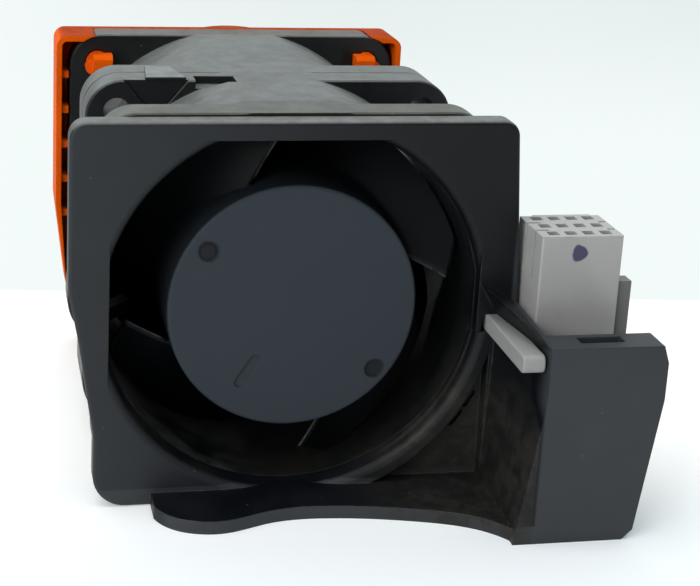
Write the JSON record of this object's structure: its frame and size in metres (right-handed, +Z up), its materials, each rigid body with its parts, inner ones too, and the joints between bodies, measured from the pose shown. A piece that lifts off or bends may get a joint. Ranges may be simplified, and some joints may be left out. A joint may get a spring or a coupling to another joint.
{
  "type": "server fan module",
  "caption": "Server cooling module: axial fans in series that turn opposite ways, in a black carrier with a bell mouth, a side wing with an upright plug, and an orange rear frame.",
  "frame": {"origin": "on the face that the module rests on, straight below the fan axis, in the plane of the inlet plate's front face", "axes": "+X to the right seen from the inlet (the wing's side), +Y along the airflow from inlet to outlet, +Z up"},
  "size_m": [0.0864, 0.0908, 0.0615],
  "materials": {
    "black_plastic": "matte moulded",
    "fan_plastic": "matte moulded",
    "impeller_plastic": "satin moulded",
    "grey_plastic": "matte moulded",
    "orange_plastic": "satin moulded",
    "contact_metal": "plated",
    "bright_steel": "ground",
    "lamination_steel": "stacked laminations",
    "magnet": "bonded magnet",
    "brass": "turned",
    "copper_wire": "enamelled wire",
    "white_plastic": "moulded",
    "board": "solder mask"
  },
  "bodies": {
    "module": {"inlet_shroud": "black_plastic", "connector_housing": "grey_plastic", "connector_contacts": "contact_metal", "connector_key_bar": "grey_plastic", "outlet_frame": "orange_plastic", "joint_clip": "fan_plastic", "front_fan_frame": "fan_plastic", "rear_fan_frame": "fan_plastic", "front_bearing_tube": "brass", "front_bearing_outer_rings": "bright_steel", "front_stator_core": "lamination_steel", "front_stator_windings": "copper_wire", "front_stator_insulators": "white_plastic", "front_circuit_board": "board", "rear_bearing_tube": "brass", "rear_bearing_outer_rings": "bright_steel", "rear_stator_core": "lamination_steel", "rear_stator_windings": "copper_wire", "rear_stator_insulators": "white_plastic", "rear_circuit_board": "board"},
    "front_rotor": {"front_impeller": "impeller_plastic", "front_rotor_yoke": "bright_steel", "front_magnet_ring": "magnet", "front_shaft": "bright_steel", "front_bearing_inner_rings": "bright_steel", "front_preload_spring": "bright_steel", "front_retaining_clip": "bright_steel"},
    "rear_rotor": {"rear_impeller": "impeller_plastic", "rear_rotor_yoke": "bright_steel", "rear_magnet_ring": "magnet", "rear_shaft": "bright_steel", "rear_bearing_inner_rings": "bright_steel", "rear_preload_spring": "bright_steel", "rear_retaining_clip": "bright_steel"}
  },
  "joints": [
    {"name": "front_rotor_spin", "type": "hinge", "parent": "module", "child": "front_rotor", "pos_m": [0, 0.0046, 0.031], "axis": [0, 1, 0], "continuous": true},
    {"name": "rear_rotor_spin", "type": "hinge", "parent": "module", "child": "rear_rotor", "pos_m": [0, 0.0664, 0.031], "axis": [0, -1, 0], "continuous": true}
  ]
}
